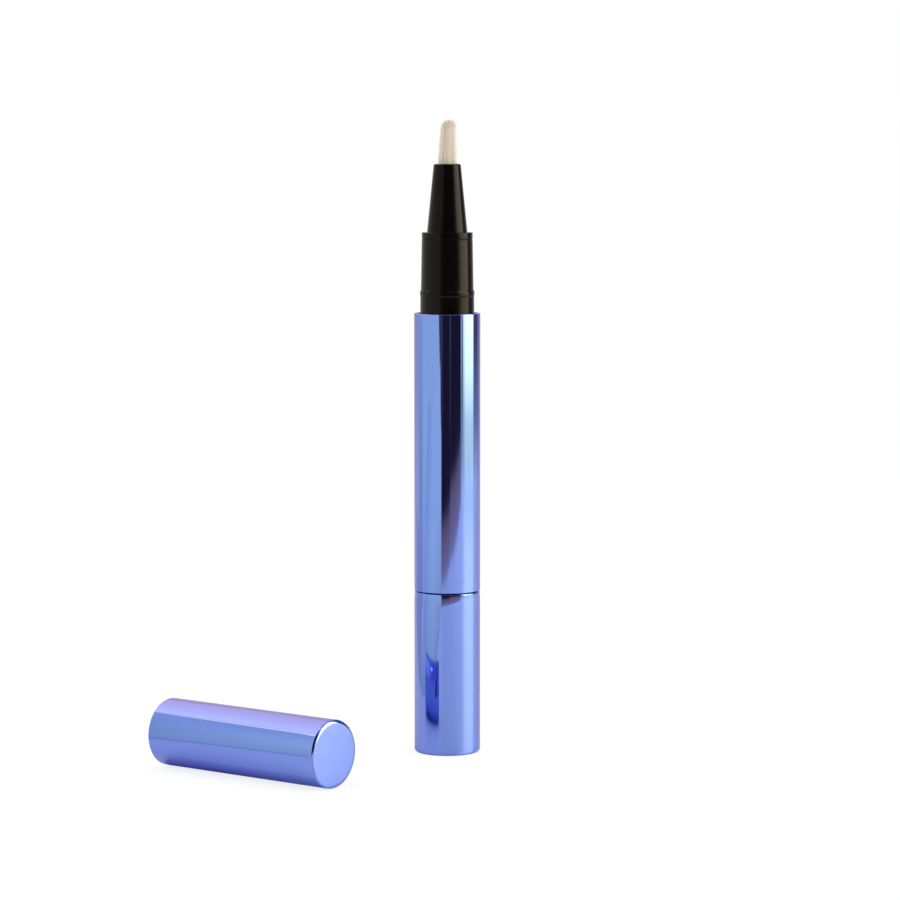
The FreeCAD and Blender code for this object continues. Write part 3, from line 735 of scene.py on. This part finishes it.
card("left_card", (left_back, left_front), (left_back_top, left_front), (0, left_height), left_levels,
     along="X", rise=left_rise)
foot_ends = [(right + foot_shift, near) for right, near in (left_back, left_front)]
upright("left_card_painted_shade", foot_ends, (0, foot_height), painted_shade_foot_levels)
grey_ends = (grey_back, left_back)
card("back_card", grey_ends, grey_ends, (0, grey_height), grey_levels, along="X", rise=grey_rise)
far_ends = [(far_right, near) for near in far_nears]
upright("far_card_back", far_ends[:2], (0, far_height), far_back_levels)
upright("far_card", far_ends[1:], (0, far_height), far_levels)

# Front flag: a dark cloth across the front, which draws the dark band down the barrel. It is paler at
# its foot, where the table lights it, hangs in two folds, and has a strip that leans out at its left.
flag_height = 0.400
flag_dark = (0.026, 0.018, 0.03)
flag_foot = (0.42, 0.26, 0.28)
flag_table = (0.48, 0.38, 0.44)
flag_pale = (0.1, 0.085, 0.09)
flag_left_azimuth = -20.4
flag_left_distance = 0.2385
flag_bend = (0.050, 0.282)
flag_right = (0.314, 0.283)
flag_levels = [(0, flag_table), (0.012, flag_foot), (0.017, (0.36, 0.22, 0.24)), (0.023, flag_dark)]
flag_left_levels = [(0, flag_table), (0.007, flag_foot), (0.012, (0.34, 0.21, 0.23)), (0.018, flag_dark)]
fold_foot = 0.025
fold_levels = [(fold_foot, flag_dark), (0.06, (0.1, 0.085, 0.095))]
folds = [
    ("left_fold", (flag_left_azimuth, 0.236), (-9, 0.250)),
    ("right_fold", (7.6, 0.265), (13, 0.275)),
]
strip_distance = 0.2
strip_inner = -19
strip_outer = (-21.5, -29.5)
strip_heights = (0.042, 0.072)


def around(azimuth, distance):
    """A place on the table at an angle round the pen, from the camera's side towards the right."""
    turned_by = math.radians(azimuth)
    return (distance * math.sin(turned_by), distance * math.cos(turned_by))


upright("front_flag", (flag_bend, flag_right), (0, flag_height), flag_levels)
flag_left = around(flag_left_azimuth, flag_left_distance)
upright("front_flag_left", (flag_left, flag_bend), (0, flag_height), flag_left_levels)
for name, left_end, right_end in folds:
    upright(name, (around(*left_end), around(*right_end)), (fold_foot, flag_height), fold_levels)
strip_base, strip_top = [
    (around(outer, strip_distance), around(strip_inner, strip_distance)) for outer in strip_outer
]
card("flag_lean", strip_base, strip_top, strip_heights, [(0, flag_pale), (1, flag_pale)])
flag_top_heights = (strip_heights[1], flag_height)
upright("flag_top", strip_top, flag_top_heights, [(up, flag_pale) for up in flag_top_heights])

# Window and back flags: a tall window on the right, brightest high up, with a frame, a shaded strip and
# a softer edge on its near side, and behind it a dark flag that fades out towards the back.
# The frame, the shaded strip and the back flags are painted pale at their feet, as painted light from the
# table, so that they meet the floor without an edge.
window_height = 0.600
window_levels = [
    (0, (1.5, 1.65, 1.3)),
    (0.01, (1.45, 1.6, 1.05)),
    (0.0216, (1.6, 1.7, 1.0)),
    (0.036, (2.8, 2.85, 1.6)),
    (0.05, (3.6, 3.5, 2.3)),
    (0.07, (4.8, 4.7, 4.0)),
]
edge_shares = (0.6, 0.67, 0.75)
edge_levels = [
    (up, [share * part for share, part in zip(edge_shares, level)])
    for up, level in window_levels
]
frame_levels = [
    (0, (1.0, 1.03, 1.0)),
    (0.015, (0.6, 0.56, 0.56)),
    (0.03, (0.6, 0.52, 0.46)),
    (0.05, (1.0, 0.85, 0.62)),
]
shade_levels = [
    (0, (1.1, 1.2, 1.1)),
    (0.012, (0.5, 0.65, 0.55)),
    (0.03, (0.26, 0.42, 0.28)),
    (0.05, (0.45, 0.5, 0.36)),
]
back_flag_levels = [
    (0, (0.92, 0.9, 0.93)),
    (0.019, (0.38, 0.42, 0.46)),
    (0.046, (0.13, 0.11, 0.17)),
    (0.058, (0.13, 0.11, 0.17)),
]
back_edge_levels = [(0, (0.72, 0.7, 0.74)), (0.019, (0.45, 0.42, 0.46)), (0.046, (0.4, 0.33, 0.36))]
right_cards = [
    ("window_frame", (47.7, 51.3), 0.4, window_height, frame_levels),
    ("window_shade", (51.3, 56.8), 0.47, window_height, shade_levels),
    ("window_edge", (56.8, 63), 0.473, window_height, edge_levels),
    ("window", (63, 102), 0.473, window_height, window_levels),
    ("back_flag", (104, 128), 0.5, flag_height, back_flag_levels),
    ("back_flag_edge", (128, 146), 0.5, flag_height, back_edge_levels),
]
for name, azimuths, away, height, levels in right_cards:
    upright(name, [around(azimuth, away) for azimuth in azimuths], (0, height), levels)

# Ceiling: a bright slope high on the left behind the pen, and a small lamp above it. They show in what
# faces upwards, such as the upper side of the cap and the rounded edges.
slope_base = ((-0.75, -0.1), (-0.15, -0.95))
slope_top = ((-0.55, 0.0), (0.0, -0.62))
slope_heights = (0.45, 0.85)
slope_levels = [
    (0, (2.1, 1.8, 1.5)),
    (0.1, (2.0, 1.7, 1.45)),
    (0.16, (1.6, 1.3, 1.22)),
    (0.26, (1.8, 1.5, 1.32)),
    (0.45, (1.6, 1.3, 1.22)),
    (0.75, (1.4, 1.1, 1.1)),
    (1, (1.2, 0.95, 1.0)),
]
spark_left, spark_right = (-0.36, -0.24)
spark_front, spark_back = (-0.09, -0.21)
spark_height = 0.94
spark_level = (8.0, 8.0, 8.0)
card("ceiling_card", slope_base, slope_top, slope_heights, slope_levels, along="X")
spark_base, spark_top = [((spark_left, near), (spark_right, near)) for near in (spark_front, spark_back)]
card("ceiling_lamp", spark_base, spark_top, (spark_height, spark_height),
     [(0, spark_level), (1, spark_level)])

# Soft lamps: one at the window and a weaker one on the left, so that the brush has light sides.
# Gloss doesn't see them.
lamp_size = 0.5
lamp_distance = 0.6
lamp_height = 0.5
lamp_tilt = math.radians(52)
lamps = [("window_lamp", 70, 0.95), ("fill_lamp", -95, 0.78)]
for name, azimuth, watts in lamps:
    lamp = bpy.data.objects.new(name, bpy.data.lights.new(name, "AREA"))
    bpy.context.collection.objects.link(lamp)
    lamp.data.size = lamp_size
    lamp.data.energy = watts
    lamp.location = studio(*around(azimuth, lamp_distance), lamp_height)
    lamp.rotation_euler = (lamp_tilt, 0, view_azimuth + math.radians(azimuth))
    lamp.visible_glossy = False
